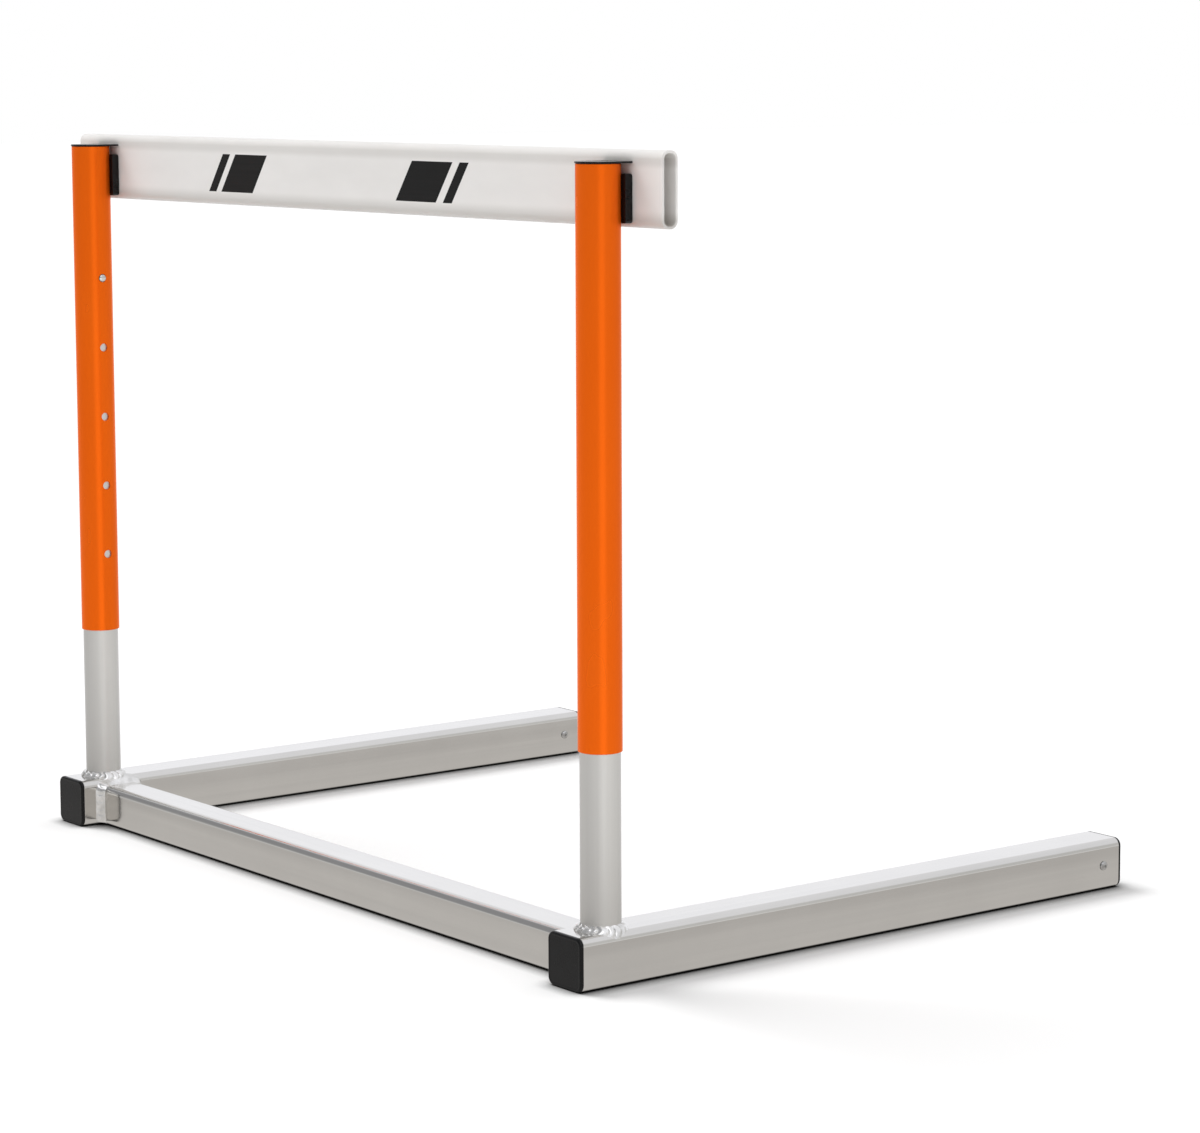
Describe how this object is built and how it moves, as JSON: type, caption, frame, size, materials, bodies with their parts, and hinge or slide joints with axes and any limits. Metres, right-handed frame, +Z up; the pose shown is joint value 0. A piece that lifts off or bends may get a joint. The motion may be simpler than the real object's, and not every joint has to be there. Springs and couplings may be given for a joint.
{
  "type": "track hurdle",
  "caption": "Height-adjustable track hurdle: weighted square legs, a front rail, telescoping uprights with snap buttons, and a hollow gateboard.",
  "frame": {"origin": "on the floor, in the middle of the bounding box's length and depth", "axes": "+X along the gateboard, +Y from the uprights to the rear ends of the legs, +Z up"},
  "size_m": [1.0414, 0.6928, 0.762],
  "materials": {
    "tube_aluminium": "mill finish, fine brushing along the tubes",
    "weld_aluminium": "bright rippled weld bead",
    "rivet_aluminium": "bright",
    "sleeve_orange": "gloss powder coat",
    "board_white": "satin extruded plastic with printed dark stripes",
    "black_plastic": "satin moulded",
    "zinc_steel": "zinc plated",
    "spring_steel": "bright strip",
    "bar_steel": "dark mill scale"
  },
  "bodies": {
    "base": {"left_leg": "tube_aluminium", "right_leg": "tube_aluminium", "front_rail": "tube_aluminium", "left_post": "tube_aluminium", "right_post": "tube_aluminium", "left_post_weld": "weld_aluminium", "right_post_weld": "weld_aluminium", "left_rail_weld": "weld_aluminium", "right_rail_weld": "weld_aluminium", "left_front_cap": "black_plastic", "right_front_cap": "black_plastic", "left_rear_cap": "black_plastic", "right_rear_cap": "black_plastic", "left_counterweight": "bar_steel", "right_counterweight": "bar_steel", "left_leg_west_rivet": "rivet_aluminium", "left_leg_east_rivet": "rivet_aluminium", "right_leg_west_rivet": "rivet_aluminium", "right_leg_east_rivet": "rivet_aluminium", "left_button_spring": "spring_steel", "right_button_spring": "spring_steel"},
    "crossbar": {"left_sleeve": "sleeve_orange", "right_sleeve": "sleeve_orange", "left_top_cap": "black_plastic", "right_top_cap": "black_plastic", "left_saddle": "black_plastic", "right_saddle": "black_plastic", "gateboard": "board_white", "left_lower_board_screw": "zinc_steel", "left_upper_board_screw": "zinc_steel", "right_lower_board_screw": "zinc_steel", "right_upper_board_screw": "zinc_steel", "left_lower_board_nut": "zinc_steel", "left_upper_board_nut": "zinc_steel", "right_lower_board_nut": "zinc_steel", "right_upper_board_nut": "zinc_steel"},
    "left_button": {"left_snap_button": "zinc_steel"},
    "right_button": {"right_snap_button": "zinc_steel"}
  },
  "joints": [
    {"name": "height", "type": "slide", "parent": "base", "child": "crossbar", "axis": [0, 0, 1], "range_m": [0, 0.3048], "deforming": ["left_snap_button", "right_snap_button"]},
    {"name": "left_button_press", "type": "slide", "parent": "base", "child": "left_button", "axis": [-1, 0, 0], "range_m": [0, 0.0034], "stiffness_N_per_m": 1500, "springref_m": -0.003, "deforming": ["left_button_spring"]},
    {"name": "right_button_press", "type": "slide", "parent": "base", "child": "right_button", "axis": [1, 0, 0], "range_m": [0, 0.0034], "stiffness_N_per_m": 1500, "springref_m": -0.003, "deforming": ["right_button_spring"]}
  ]
}
